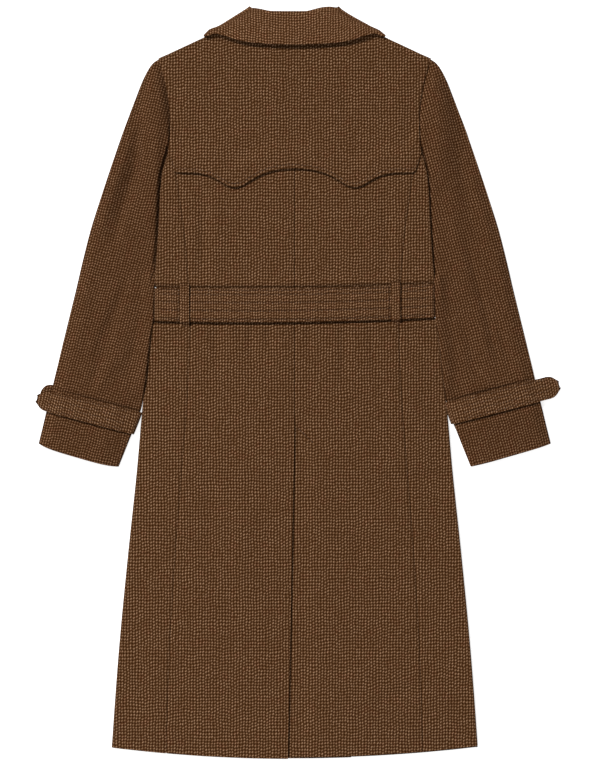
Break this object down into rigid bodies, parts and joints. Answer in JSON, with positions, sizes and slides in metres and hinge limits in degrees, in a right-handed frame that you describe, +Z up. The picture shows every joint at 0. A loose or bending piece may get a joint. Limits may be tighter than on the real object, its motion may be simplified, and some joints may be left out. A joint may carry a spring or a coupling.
{
  "type": "double-breasted coat",
  "caption": "Brown tweed coat laid flat with its back up, with a turned-down collar, scalloped back yoke, belt in loops, cuff straps and a back vent.",
  "frame": {"origin": "middle of the coat's outline, on the surface it lies on", "axes": "+Y from the hem to the collar, +Z up through the back, +X to the wearer's right sleeve as seen from above"},
  "size_m": [0.7844, 1.1284, 0.0209],
  "materials": {
    "tweed_cloth": "matt woven tweed",
    "brown_horn": "semi-gloss",
    "covered_buckle": "satin"
  },
  "bodies": {
    "root": {"back_yoke": "tweed_cloth", "collar_fall": "tweed_cloth", "collar_stand": "tweed_cloth", "belt": "tweed_cloth", "back_left": "tweed_cloth", "back_right": "tweed_cloth", "side_back_left": "tweed_cloth", "side_back_right": "tweed_cloth", "front_left": "tweed_cloth", "front_right": "tweed_cloth", "lapel_left": "tweed_cloth", "lapel_right": "tweed_cloth", "sleeve_left": "tweed_cloth", "sleeve_right": "tweed_cloth", "cuff_strap_left": "tweed_cloth", "cuff_strap_right": "tweed_cloth", "belt_loop_left": "tweed_cloth", "belt_loop_right": "tweed_cloth", "button_1": "brown_horn", "button_2": "brown_horn", "button_3": "brown_horn", "button_4": "brown_horn", "button_5": "brown_horn", "button_6": "brown_horn", "buckle": "covered_buckle"}
  },
  "joints": []
}
